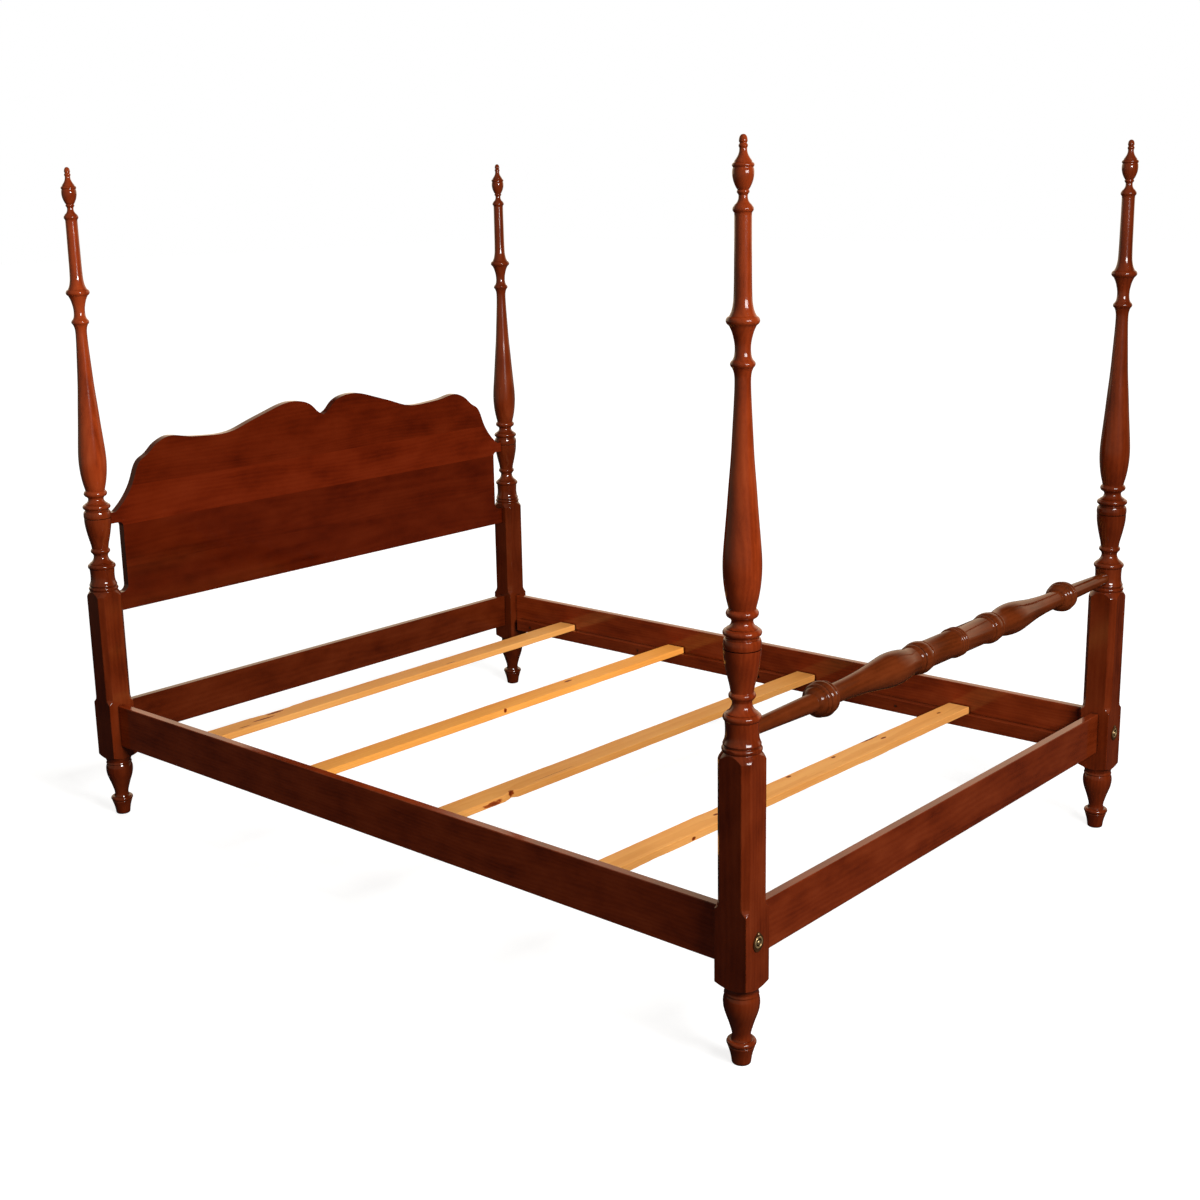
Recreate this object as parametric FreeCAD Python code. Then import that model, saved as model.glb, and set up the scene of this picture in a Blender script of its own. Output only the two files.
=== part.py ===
import FreeCAD, Part
import math
import os

Vector = FreeCAD.Vector

# Four-poster bed, in millimetres. The origin is on the floor under the middle of the bed,
# X runs across the bed, Y runs from the foot to the head and Z runs up.

# The posts stand on the corners of a rectangle.
post_spacing_across = 1600.0
post_spacing_along = 2156.0

# Lower post, from the floor up: turned foot, square block, octagonal shaft, turned collar.
block_side = 77.0
block_edge_radius = 1.5
foot_height = 177.0
square_height = 153.0
octagon_height = 302.0
collar_height = 219.5
corner_chamfer = 12.5
chamfer_stop_height = 11.0

# Upper post and finial.
upper_post_height = 805.5
post_tenon_radius = 12.5
post_tenon_length = 65.0
finial_height = 121.0
finial_radius = 19.5
finial_pin_radius = 3.5
finial_pin_seat = 26.0
finial_pin_reach = 24.0
finial_lift_gap = 0.08

# Rails, all with their top edges one drop below the top of the blocks.
rail_top_drop = 6.0
rail_thickness = 22.0
rail_edge_radius = 2.0
side_rail_height = 118.0
end_rail_height = 106.0
rail_tenon_thickness = 16.0
rail_tenon_inset = 12.0
side_tenon_length = 12.0
end_tenon_web = 5.0

# Cleats on the side rails and the slats that lie on them.
cleat_thickness = 19.0
cleat_height = 38.0
cleat_end_gap = 20.0
cleat_edge_radius = 1.5
cleat_screw_count = 5
cleat_screw_radius = 2.2
cleat_screw_length = 34.0
cleat_screw_head_radius = 4.4
cleat_screw_head_height = 3.0
cleat_screw_nut_distance = 20.0
slat_width = 63.0
slat_thickness = 19.0
slat_end_gap = 4.0
slat_edge_radius = 1.5
slat_place_shares = (0.732, 0.313, -0.137, -0.607)
slat_skew_degrees = (0.5, -0.4, -1.2, -1.4)

# Bed bolt, washer and barrel nut at each end of each side rail.
bolt_drop = 55.5
bolt_radius = 4.75
bolt_head_flats = 14.5
bolt_head_height = 6.5
bolt_tip_reach = 12.0
washer_radius = 11.0
washer_thickness = 2.0
washer_room = 1.5
bolt_head_depth = 3.5
nut_distance = 60.0
nut_radius = 7.0
nut_length = 24.0

# Teardrop cover that hangs over each bed bolt.
cover_thickness = 1.8
cover_half_width = 15.8
cover_drop = 19.0
cover_rise = 21.0
cover_ring_radius = 10.3
cover_ring_width = 2.0
cover_ring_height = 1.5
cover_boss_radius = 4.4
cover_boss_height = 2.6
cover_pin_edge = 4.2
cover_pin_radius = 1.2
cover_pin_length = 13.0
cover_pin_head_radius = 2.5
cover_pin_head_height = 1.2
cover_gap = 0.3
cover_pin_gap = 0.08

# Headboard of edge-glued boards, with an open notch between each end and its post. Its upper ears
# reach from one drop below the joint of the head posts.
headboard_thickness = 22.0
ear_joint_drop = 22.0
bottom_board_width = 118.0
lower_board_width = 119.0
upper_board_width = 105.0
lower_ear_height = 51.0
notch_height = 195.5
notch_width = 33.0
notch_top_radius = 12.0
notch_bottom_radius = 18.0
upper_ear_height = 30.5
crest_rise = 235.0
ear_web = 2.0

# Blanket roll between the foot posts. It enters the collars at a share of their height, and its
# ends taper to the tenons over this share of its half length.
roll_knob_radius = 37.5
roll_tenon_radius = 15.0
roll_tenon_seat = 19.0
roll_place_share = 0.2415
roll_taper_share = 0.96

# Clearances and one overrun for every cut.
fit_gap = 0.2
bolt_hole_gap = 0.75
thread_gap = 0.05
overrun = 5.0

half_across = post_spacing_across / 2
half_along = post_spacing_along / 2
half_block = block_side / 2
turning_radius = block_side / 2
block_corner_distance = block_side / math.sqrt(2)
shoulder_height = foot_height + square_height + octagon_height
joint_height = shoulder_height + collar_height
finial_seat_height = joint_height + upper_post_height
roll_height = shoulder_height + roll_place_share * collar_height
rail_top_height = foot_height + square_height - rail_top_drop
side_rail_bottom = rail_top_height - side_rail_height
end_rail_bottom = rail_top_height - end_rail_height
cleat_top_height = side_rail_bottom + cleat_height
rail_inner_distance = half_across - rail_thickness / 2
end_tenon_length = half_block - bolt_radius - bolt_hole_gap - end_tenon_web
bolt_height = rail_top_height - bolt_drop
counterbore_radius = washer_radius + washer_room
counterbore_depth = washer_thickness + bolt_head_height + bolt_head_depth
cover_pin_rise = cover_rise - cover_pin_edge
notch_top_height = joint_height - ear_joint_drop
notch_bottom_height = notch_top_height - notch_height
headboard_bottom_height = notch_bottom_height - lower_ear_height
ear_top_height = notch_top_height + upper_ear_height
crest_height = ear_top_height + crest_rise
post_face_distance = half_across - turning_radius
notch_distance = post_face_distance - notch_width
headboard_reach = half_across - post_tenon_radius - ear_web
full_turn = 360.0
quarter_turn = 90.0

# Turned outlines, from the bottom up. A pair is a straight run to that radius and height.
# A third number is the radius half way up an arc. A list is one smooth curve through its pairs.
# Radii are shares of the turning's largest radius and heights are shares of its length.
foot_shares = (
    (0.377, 0.000),
    (0.462, 0.020, 0.442),
    (0.629, 0.141),
    (0.681, 0.150),
    (0.530, 0.283, 0.764),
    [(0.499, 0.322), (0.556, 0.424), (0.706, 0.531), (0.852, 0.622), (0.932, 0.723), (0.935, 0.774),
     (0.899, 0.842)],
    (0.873, 0.850),
    (0.873, 0.870),
    [(0.899, 0.879), (0.945, 0.906), (1.013, 0.945)],
    (1.413, 1.000),
)
# Radius of the cove in the collar, where the blanket roll enters it.
cove_share = 0.839
collar_shares = (
    (1.208, 0.000),
    [(1.177, 0.016), (1.106, 0.039), (1.018, 0.060), (0.971, 0.076)],
    (0.961, 0.112, 1.021),
    (0.917, 0.116),
    (0.912, 0.129),
    (0.956, 0.133),
    (0.935, 0.167, 1.008),
    (0.919, 0.170),
    [(0.894, 0.196), (0.857, 0.237), (cove_share, 0.282), (cove_share, 0.319), (0.862, 0.355)],
    (0.883, 0.360),
    (0.868, 0.417, 0.961),
    (0.810, 0.420),
    (0.821, 0.428),
    (0.509, 0.497, 0.592),
    (0.491, 0.524),
    (0.571, 0.551),
    (0.577, 0.610, 0.675),
    [(0.587, 0.629), (0.696, 0.720), (0.821, 0.821), (0.899, 0.902), (0.927, 0.961), (0.932, 0.993)],
    (0.899, 1.000),
)
upper_post_shares = (
    (0.899, 0.0000),
    (0.932, 0.0019),
    (0.904, 0.0223, 0.945),
    (0.826, 0.0240),
    (0.826, 0.0287),
    (0.883, 0.0309),
    (0.826, 0.0461, 0.961),
    (0.769, 0.0469),
    (0.784, 0.0490),
    (0.535, 0.0633, 0.592),
    (0.540, 0.0677),
    (0.629, 0.0726),
    (0.665, 0.0931, 0.803),
    [(0.696, 0.100), (0.779, 0.116), (0.855, 0.135), (0.919, 0.159), (0.953, 0.189), (0.948, 0.212),
     (0.919, 0.234), (0.834, 0.284), (0.748, 0.333), (0.670, 0.383), (0.582, 0.433), (0.491, 0.507),
     (0.410, 0.582), (0.390, 0.613), (0.400, 0.629), (0.447, 0.640), (0.509, 0.647)],
    (0.509, 0.6629, 0.597),
    [(0.457, 0.6665), (0.400, 0.676), (0.379, 0.687), (0.395, 0.701), (0.447, 0.714), (0.525, 0.727),
     (0.639, 0.739)],
    (0.691, 0.7418),
    (0.644, 0.7610, 0.797),
    [(0.595, 0.766), (0.540, 0.772), (0.483, 0.783), (0.449, 0.794), (0.436, 0.805), (0.418, 0.848),
     (0.413, 0.892), (0.405, 0.948), (0.405, 0.983)],
    (0.421, 0.9851),
    (0.421, 0.9988, 0.488),
    (0.410, 1.0000),
)
finial_shares = (
    (0.800, 0.000),
    (0.779, 0.008),
    (0.426, 0.116, 0.503),
    (0.426, 0.149),
    (0.492, 0.165),
    (0.508, 0.219, 0.579),
    [(0.605, 0.240), (0.749, 0.285), (0.872, 0.335), (0.959, 0.393), (1.000, 0.455), (0.974, 0.512)],
    (0.933, 0.525),
    (0.933, 0.540),
    (0.892, 0.599, 1.015),
    (0.815, 0.607),
    (0.805, 0.624),
    [(0.636, 0.661), (0.462, 0.711), (0.374, 0.756), (0.354, 0.793)],
    (0.364, 0.814),
    (0.359, 0.864, 0.426),
    (0.328, 0.870),
    (0.328, 0.879),
    [(0.385, 0.893), (0.390, 0.925), (0.333, 0.962), (0.205, 0.990), (0.000, 1.000)],
)
# Half of the blanket roll, from its middle to its tenon, and its radius at the middle.
roll_middle_share = 0.907
roll_shares = (
    (0.851, 0.0058, 0.895),
    (0.837, 0.0175, 0.907),
    (0.821, 0.0183),
    (0.816, 0.1659),
    (0.837, 0.1795, 0.872),
    (0.816, 0.2174, 0.962),
    (0.800, 0.2339, 0.880),
    (0.789, 0.2358),
    [(0.795, 0.249), (0.829, 0.267), (0.883, 0.282), (0.931, 0.298), (0.963, 0.313), (0.979, 0.328),
     (0.981, 0.343), (0.968, 0.359), (0.939, 0.374), (0.901, 0.389), (0.824, 0.420), (0.747, 0.450),
     (0.680, 0.481), (0.635, 0.511), (0.595, 0.542), (0.568, 0.578), (0.555, 0.617), (0.557, 0.6395)],
    (0.827, 0.6503, 0.765),
    (0.869, 0.6630, 0.896),
    (0.885, 0.6640),
    (0.896, 0.6878, 0.997),
    (0.875, 0.6888),
    (0.840, 0.7024, 0.923),
    (0.816, 0.7033),
    (0.533, 0.7227, 0.735),
    (0.512, 0.7310),
)
# Right half of the crest, from the cleft in the middle to the ear. Places are shares of the
# distance to the post's face, and heights are shares of the rise from the ear to the crest.
crest_shares = ((0.0000, 0.7810), (0.0263, 0.8253), (0.0525, 0.9045), (0.0895, 0.9697),
                (0.1284, 0.9953), (0.1654, 0.9991), (0.2102, 0.9767), (0.2627, 0.9278),
                (0.3153, 0.8765), (0.3620, 0.8299), (0.4106, 0.7763), (0.4466, 0.7437),
                (0.4992, 0.7251), (0.5517, 0.7288), (0.5975, 0.7391), (0.6549, 0.7577),
                (0.7035, 0.7880), (0.7356, 0.7926), (0.7722, 0.7553), (0.7958, 0.7128),
                (0.8142, 0.6617), (0.8352, 0.6085), (0.8595, 0.5660), (0.8798, 0.4830),
                (0.8910, 0.3957), (0.9054, 0.2894), (0.9271, 0.1809), (0.9534, 0.0830),
                (0.9829, 0.0000))
# Right half of the cover's outline, from the bottom to the top of its tab.
cover_outline_shares = ((0.00, -1.00), (0.55, -0.86), (0.93, -0.42), (0.99, 0.10), (0.74, 0.52), (0.38, 0.78),
                        (0.20, 0.95))


def sized(rows, radius, base, length):
    """Turn rows of shares into real radii and heights."""
    real = []
    for row in rows:
        if isinstance(row, list):
            real.append([(r * radius, base + h * length) for r, h in row])
        elif len(row) == 3:
            real.append((row[0] * radius, base + row[1] * length, row[2] * radius))
        else:
            real.append((row[0] * radius, base + row[1] * length))
    return real


def outline_edges(rows):
    """Edges of a turned outline that starts at the first row."""
    here = Vector(rows[0][0], 0, rows[0][1])
    edges = []
    for row in rows[1:]:
        if isinstance(row, list):
            points = [here] + [Vector(r, 0, h) for r, h in row]
            curve = Part.BSplineCurve()
            curve.interpolate(points)
            edges.append(curve.toShape())
            here = points[-1]
            continue
        there = Vector(row[0], 0, row[1])
        if len(row) == 3:
            middle = Vector(row[2], 0, (here.z + there.z) / 2)
            edges.append(Part.Arc(here, middle, there).toShape())
        else:
            edges.append(Part.LineSegment(here, there).toShape())
        here = there
    return edges, here


def lathe(rows):
    """Solid of revolution about Z."""
    edges, top = outline_edges(rows)
    first = Vector(rows[0][0], 0, rows[0][1])
    foot = Vector(0, 0, first.z)
    head = Vector(0, 0, top.z)
    edges.insert(0, Part.LineSegment(foot, first).toShape())
    if top.x > 0:
        edges.append(Part.LineSegment(top, head).toShape())
    edges.append(Part.LineSegment(head, foot).toShape())
    face = Part.Face(Part.Wire(edges))
    return face.revolve(Vector(0, 0, 0), Vector(0, 0, 1), full_turn)


def block(x_ends, y_ends, z_ends):
    """Box between two values on each axis, in either order."""
    low = Vector(min(x_ends), min(y_ends), min(z_ends))
    size = Vector(max(x_ends), max(y_ends), max(z_ends)) - low
    return Part.makeBox(size.x, size.y, size.z, low)


def rod(radius, start, end):
    """Cylinder from one point to another."""
    along = end - start
    return Part.makeCylinder(radius, along.Length, start, along)


def long_edges(shape, direction, length):
    """Edges of a shape that run along a direction for at least a length."""
    chosen = []
    for edge in shape.Edges:
        ends = [vertex.Point for vertex in edge.Vertexes]
        if len(ends) == 2:
            run = ends[1] - ends[0]
            if abs(run.dot(direction)) > length and run.Length - abs(run.dot(direction)) < fit_gap:
                chosen.append(edge)
    return chosen


def eased_bar(x_ends, y_ends, z_ends, direction, radius):
    """Box whose edges along one direction are rounded."""
    bar = block(x_ends, y_ends, z_ends)
    return bar.makeFillet(radius, long_edges(bar, direction, radius))


def chamfer_cutter():
    """Wedge that takes one corner off the octagonal shaft and ends in a sloping stop."""
    corner = block_corner_distance
    flat = (block_side - corner_chamfer) / math.sqrt(2)
    start = foot_height + square_height
    top = shoulder_height + overrun
    outline = ((corner, start), (flat, start + chamfer_stop_height), (flat, top),
               (corner + overrun, top), (corner + overrun, start))
    points = [Vector(d, -corner_chamfer, h) for d, h in outline]
    face = Part.Face(Part.makePolygon(points + points[:1]))
    cutter = face.extrude(Vector(0, 2 * corner_chamfer, 0))
    cutter.rotate(Vector(0, 0, 0), Vector(0, 0, 1), quarter_turn / 2)
    return cutter


def post_bar():
    """Square bar with eased corners, chamfered over the height of the octagonal shaft."""
    ends = (-half_block, half_block)
    bar = eased_bar(ends, ends, (0, joint_height), Vector(0, 0, 1), block_edge_radius)
    for turn in range(4):
        cutter = chamfer_cutter()
        cutter.rotate(Vector(0, 0, 0), Vector(0, 0, 1), turn * quarter_turn)
        bar = bar.cut(cutter)
    return bar


def post_blank():
    """Lower post before its mortises: the bar turned to the outline of foot, shoulders and collar."""
    rows = sized(foot_shares, turning_radius, 0, foot_height)
    rows += [(block_side, foot_height), (block_side, shoulder_height)]
    rows += sized(collar_shares, turning_radius, shoulder_height, collar_height)
    return lathe(rows).common(post_bar())


def post_place(side, end):
    return Vector(side * half_across, end * half_along, 0)


def ear_slot(side, end):
    """Room in a head post for the headboard's ear, on both sides of the post's joint."""
    centre = post_place(side, end)
    inner = post_face_distance - overrun
    reach = headboard_reach + fit_gap
    half = headboard_thickness / 2 + fit_gap
    return block((side * inner, side * reach), (centre.y - half, centre.y + half),
                 (notch_top_height - fit_gap, ear_top_height + fit_gap))


def headboard_mortise(side, end):
    """Mortise in a head post's shaft for the bottom board."""
    centre = post_place(side, end)
    inner = post_face_distance - overrun
    reach = headboard_reach + fit_gap
    half = headboard_thickness / 2 + fit_gap
    return block((side * inner, side * reach), (centre.y - half, centre.y + half),
                 (headboard_bottom_height - fit_gap, notch_bottom_height + fit_gap))


def rail_mortises(side, end):
    """Mortises for the two rails that meet at a post."""
    centre = post_place(side, end)
    half = rail_tenon_thickness / 2 + fit_gap
    across_face = half_across - half_block
    along_face = half_along - half_block
    top = rail_top_height - rail_tenon_inset + fit_gap
    end_heights = (end_rail_bottom + rail_tenon_inset - fit_gap, top)
    side_heights = (side_rail_bottom + rail_tenon_inset - fit_gap, top)
    for_end_rail = block((side * (across_face - overrun), side * (across_face + end_tenon_length + fit_gap)),
                         (centre.y - half, centre.y + half), end_heights)
    for_side_rail = block((centre.x - half, centre.x + half),
                          (end * (along_face - overrun), end * (along_face + side_tenon_length + fit_gap)),
                          side_heights)
    return [for_end_rail, for_side_rail]


def bolt_cuts(side, end):
    """Bolt hole and counterbore through a post, and the small hole for the cover's pin."""
    x = side * half_across
    outer = half_along + half_block
    inner = half_along - half_block
    hole = rod(bolt_radius + bolt_hole_gap, Vector(x, end * (inner - overrun), bolt_height),
               Vector(x, end * (outer + overrun), bolt_height))
    counterbore = rod(counterbore_radius, Vector(x, end * (outer - counterbore_depth), bolt_height),
                      Vector(x, end * (outer + overrun), bolt_height))
    pin_height = bolt_height + cover_pin_rise
    pin_hole = rod(cover_pin_radius, Vector(x, end * (outer - cover_pin_length), pin_height),
                   Vector(x, end * (outer + overrun), pin_height))
    return [hole, counterbore, pin_hole]


def lower_post(side, end):
    post = post_blank()
    place = post_place(side, end)
    post.translate(place)
    bore = rod(post_tenon_radius + fit_gap, place + Vector(0, 0, joint_height - post_tenon_length - fit_gap),
               place + Vector(0, 0, joint_height + overrun))
    cuts = [bore] + rail_mortises(side, end) + bolt_cuts(side, end)
    if end > 0:
        cuts += [ear_slot(side, end), headboard_mortise(side, end)]
    else:
        face = half_across - collar_face_radius()
        mouth = Vector(side * (face - 2 * overrun), place.y, roll_height)
        seat = Vector(side * (face + roll_tenon_seat + fit_gap), place.y, roll_height)
        cuts.append(rod(roll_tenon_radius + fit_gap, mouth, seat))
    return post.cut(cuts)


def upper_post(side, end):
    post = lathe(sized(upper_post_shares, turning_radius, joint_height, upper_post_height))
    tenon = rod(post_tenon_radius, Vector(0, 0, joint_height - post_tenon_length), Vector(0, 0, joint_height))
    post = post.fuse(tenon).removeSplitter()
    pin_hole = rod(finial_pin_radius, Vector(0, 0, finial_seat_height - finial_pin_seat),
                   Vector(0, 0, finial_seat_height + overrun))
    post = post.cut(pin_hole)
    post.translate(post_place(side, end))
    if end > 0:
        post = post.cut(ear_slot(side, end))
    return post


def finial(side, end):
    turning = lathe(sized(finial_shares, finial_radius, finial_seat_height, finial_height))
    bore = rod(finial_pin_radius + finial_lift_gap, Vector(0, 0, finial_seat_height - overrun),
               Vector(0, 0, finial_seat_height + finial_pin_reach + fit_gap))
    turning = turning.cut(bore)
    turning.translate(post_place(side, end))
    return turning


def finial_pin(side, end):
    place = post_place(side, end)
    return rod(finial_pin_radius, place + Vector(0, 0, finial_seat_height - finial_pin_seat),
               place + Vector(0, 0, finial_seat_height + finial_pin_reach))


def collar_face_radius():
    """Smallest radius of the collar's cove, where the blanket roll enters it."""
    return turning_radius * cove_share


def blanket_roll():
    """Two turned halves that meet in the middle, laid along X."""
    half_length = half_across - collar_face_radius() + roll_tenon_seat
    rows = sized(roll_shares, roll_knob_radius, 0, half_length)
    tenon = [(roll_tenon_radius, roll_taper_share * half_length), (roll_tenon_radius, half_length)]
    half = lathe([(roll_middle_share * roll_knob_radius, 0)] + rows + tenon)
    half.rotate(Vector(0, 0, 0), Vector(0, 1, 0), quarter_turn)
    other = half.mirror(Vector(0, 0, 0), Vector(1, 0, 0))
    roll = half.fuse(other).removeSplitter()
    roll.translate(Vector(0, -half_along, roll_height))
    return roll


def end_rail(end):
    """Head or foot rail with a tenon at each end."""
    y = end * half_along
    shoulder = half_across - half_block
    half = rail_thickness / 2
    rail = eased_bar((-shoulder, shoulder), (y - half, y + half), (end_rail_bottom, rail_top_height),
                     Vector(1, 0, 0), rail_edge_radius)
    reach = shoulder + end_tenon_length
    half_tenon = rail_tenon_thickness / 2
    tenon = block((-reach, reach), (y - half_tenon, y + half_tenon),
                  (end_rail_bottom + rail_tenon_inset, rail_top_height - rail_tenon_inset))
    return rail.fuse(tenon).removeSplitter()


def side_rail(side):
    """Side rail with stub tenons, bolt holes in its ends and nut holes from its lower edge."""
    x = side * half_across
    shoulder = half_along - half_block
    half = rail_thickness / 2
    rail = eased_bar((x - half, x + half), (-shoulder, shoulder), (side_rail_bottom, rail_top_height),
                     Vector(0, 1, 0), rail_edge_radius)
    reach = shoulder + side_tenon_length
    half_tenon = rail_tenon_thickness / 2
    tenon = block((x - half_tenon, x + half_tenon), (-reach, reach),
                  (side_rail_bottom + rail_tenon_inset, rail_top_height - rail_tenon_inset))
    rail = rail.fuse(tenon).removeSplitter()
    cuts = []
    for end in (-1, 1):
        tip = shoulder - nut_distance - nut_radius - bolt_tip_reach - fit_gap
        cuts.append(rod(bolt_radius + bolt_hole_gap, Vector(x, end * tip, bolt_height),
                        Vector(x, end * (reach + overrun), bolt_height)))
        nut_y = end * (shoulder - nut_distance)
        cuts.append(rod(nut_radius + fit_gap, Vector(x, nut_y, side_rail_bottom - overrun),
                        Vector(x, nut_y, bolt_height + nut_length / 2)))
    for place in cleat_screw_places():
        cuts.append(cleat_screw(side, place))
    return rail.cut(cuts)


def cleat_length():
    return post_spacing_along - block_side - 2 * cleat_end_gap


def cleat_screw_places():
    """Evenly spaced places along a cleat."""
    span = 2 * (half_along - half_block - nut_distance - cleat_screw_nut_distance)
    gap = span / (cleat_screw_count - 1)
    return [index * gap - span / 2 for index in range(cleat_screw_count)]


def cleat_screw(side, place):
    """Countersunk wood screw whose head lies flush with the cleat's face."""
    face = rail_inner_distance - cleat_thickness
    height = side_rail_bottom + cleat_height / 2
    start = Vector(side * face, place, height)
    out = Vector(side, 0, 0)
    head = Part.makeCone(cleat_screw_head_radius, cleat_screw_radius, cleat_screw_head_height, start, out)
    shank_start = start + out * cleat_screw_head_height
    shank = rod(cleat_screw_radius, shank_start, start + out * cleat_screw_length)
    return head.fuse(shank).removeSplitter()


def cleat(side):
    """Strip screwed to the inside of a side rail, level with its lower edge."""
    half_length = cleat_length() / 2
    inner = rail_inner_distance - cleat_thickness
    strip = eased_bar((side * inner, side * rail_inner_distance), (-half_length, half_length),
                      (side_rail_bottom, cleat_top_height), Vector(0, 1, 0), cleat_edge_radius)
    return strip.cut([cleat_screw(side, place) for place in cleat_screw_places()])


def slat(share, skew):
    """Loose slat across the cleats, a little out of square as it lies."""
    half_length = rail_inner_distance - slat_end_gap
    half_width = slat_width / 2
    heights = (cleat_top_height, cleat_top_height + slat_thickness)
    board = eased_bar((-half_length, half_length), (-half_width, half_width), heights,
                      Vector(1, 0, 0), slat_edge_radius)
    board.rotate(Vector(0, 0, 0), Vector(0, 0, 1), skew)
    board.translate(Vector(0, share * half_along, 0))
    return board


def bolt_stations():
    """Side and end signs of the four bed bolts."""
    return [(side, end) for side in (-1, 1) for end in (-1, 1)]


def bed_bolt(side, end):
    """Hexagon-headed bolt along Y, through a post and into a side rail."""
    x = side * half_across
    seat = half_along + half_block - counterbore_depth + washer_thickness
    tip = half_along - half_block - nut_distance - nut_radius - bolt_tip_reach
    shank = rod(bolt_radius, Vector(x, end * tip, bolt_height), Vector(x, end * seat, bolt_height))
    corner = bolt_head_flats / math.sqrt(3)
    angles = [math.pi / 3 * index for index in range(7)]
    centre = Vector(x, end * seat, bolt_height)
    points = [centre + Vector(math.cos(angle), 0, math.sin(angle)) * corner for angle in angles]
    head = Part.Face(Part.makePolygon(points)).extrude(Vector(0, end * bolt_head_height, 0))
    return shank.fuse(head).removeSplitter()


def washer(side, end):
    x = side * half_across
    seat = half_along + half_block - counterbore_depth
    start = Vector(x, end * seat, bolt_height)
    finish = Vector(x, end * (seat + washer_thickness), bolt_height)
    ring = rod(washer_radius, start, finish)
    return ring.cut(rod(bolt_radius + thread_gap, start, finish))


def barrel_nut(side, end):
    """Cross dowel that stands in the rail, with the bolt through it."""
    x = side * half_across
    y = end * (half_along - half_block - nut_distance)
    half = nut_length / 2
    barrel = rod(nut_radius, Vector(x, y, bolt_height - half), Vector(x, y, bolt_height + half))
    reach = Vector(0, nut_radius + overrun, 0)
    centre = Vector(x, y, bolt_height)
    return barrel.cut(rod(bolt_radius + thread_gap, centre - reach, centre + reach))


def cover_outline():
    """Closed teardrop in the XZ plane about the bolt's axis."""
    right = []
    for share_x, share_z in cover_outline_shares:
        height = share_z * (cover_rise if share_z > 0 else cover_drop)
        right.append(Vector(share_x * cover_half_width, 0, height))
    left = [Vector(-point.x, 0, point.z) for point in reversed(right[1:])]
    side_curve = Part.BSplineCurve()
    side_curve.interpolate(left + right)
    tip = Part.Arc(right[-1], Vector(0, 0, cover_rise), left[0]).toShape()
    return Part.Wire([side_curve.toShape(), tip])


def domed_boss(radius, base, height):
    """Cap of a sphere that stands on a plane across Y."""
    sphere = (radius * radius + height * height) / (2 * height)
    middle = math.sqrt(sphere * sphere - radius * radius / 4) - sphere + height
    start = Vector(radius, base, 0)
    top = Vector(0, base + height, 0)
    foot = Vector(0, base, 0)
    dome = Part.Arc(start, Vector(radius / 2, base + middle, 0), top).toShape()
    rim = [dome, Part.LineSegment(top, foot).toShape(), Part.LineSegment(foot, start).toShape()]
    return Part.Face(Part.Wire(rim)).revolve(Vector(0, 0, 0), Vector(0, 1, 0), full_turn)


def bolt_cover(side, end):
    """Teardrop plate with a raised ring and a domed boss, hung from its pin."""
    plate = Part.Face(cover_outline()).extrude(Vector(0, cover_thickness, 0))
    front = cover_thickness
    inner = Vector(cover_ring_radius - cover_ring_width, front, 0)
    crest = Vector(cover_ring_radius, front + cover_ring_height, 0)
    outer = Vector(cover_ring_radius + cover_ring_width, front, 0)
    section = Part.Wire([Part.Arc(inner, crest, outer).toShape(), Part.LineSegment(outer, inner).toShape()])
    ring = Part.Face(section).revolve(Vector(0, 0, 0), Vector(0, 1, 0), full_turn)
    cover = plate.fuse([ring, domed_boss(cover_boss_radius, front, cover_boss_height)]).removeSplitter()
    cover = cover.cut(rod(cover_pin_radius + cover_pin_gap, Vector(0, -overrun, cover_pin_rise),
                          Vector(0, front + overrun, cover_pin_rise)))
    if end < 0:
        cover = cover.mirror(Vector(0, 0, 0), Vector(0, 1, 0))
    cover.translate(Vector(side * half_across, end * (half_along + half_block + cover_gap), bolt_height))
    return cover


def cover_pin(side, end):
    """Small domed nail that a cover hangs on."""
    outer = half_along + half_block
    under_head = outer + cover_gap + cover_thickness + cover_gap
    x = side * half_across
    z = bolt_height + cover_pin_rise
    tip = Vector(x, end * (outer - cover_pin_length), z)
    shank = rod(cover_pin_radius, tip, Vector(x, end * under_head, z))
    head = Part.makeCone(cover_pin_head_radius, cover_pin_head_radius / 2, cover_pin_head_height,
                         Vector(x, end * under_head, z), Vector(0, end, 0))
    return shank.fuse(head).removeSplitter()


def smooth_edge(points):
    curve = Part.BSplineCurve()
    curve.interpolate(points)
    return curve.toShape()


def straight_edges(path):
    return [Part.LineSegment(start, finish).toShape() for start, finish in zip(path, path[1:])]


def rounded_corner(x, z, radius):
    """Start, middle and end of the arc in a notch's corner. A negative radius goes below it."""
    bend = abs(radius) * (1 - math.sqrt(0.5))
    rise = math.copysign(bend, radius)
    return [Vector(x, 0, z + radius), Vector(x + bend, 0, z + rise), Vector(x + abs(radius), 0, z)]


def crest_point(share_x, share_z):
    return Vector(share_x * post_face_distance, 0, ear_top_height + share_z * crest_rise)


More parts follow.
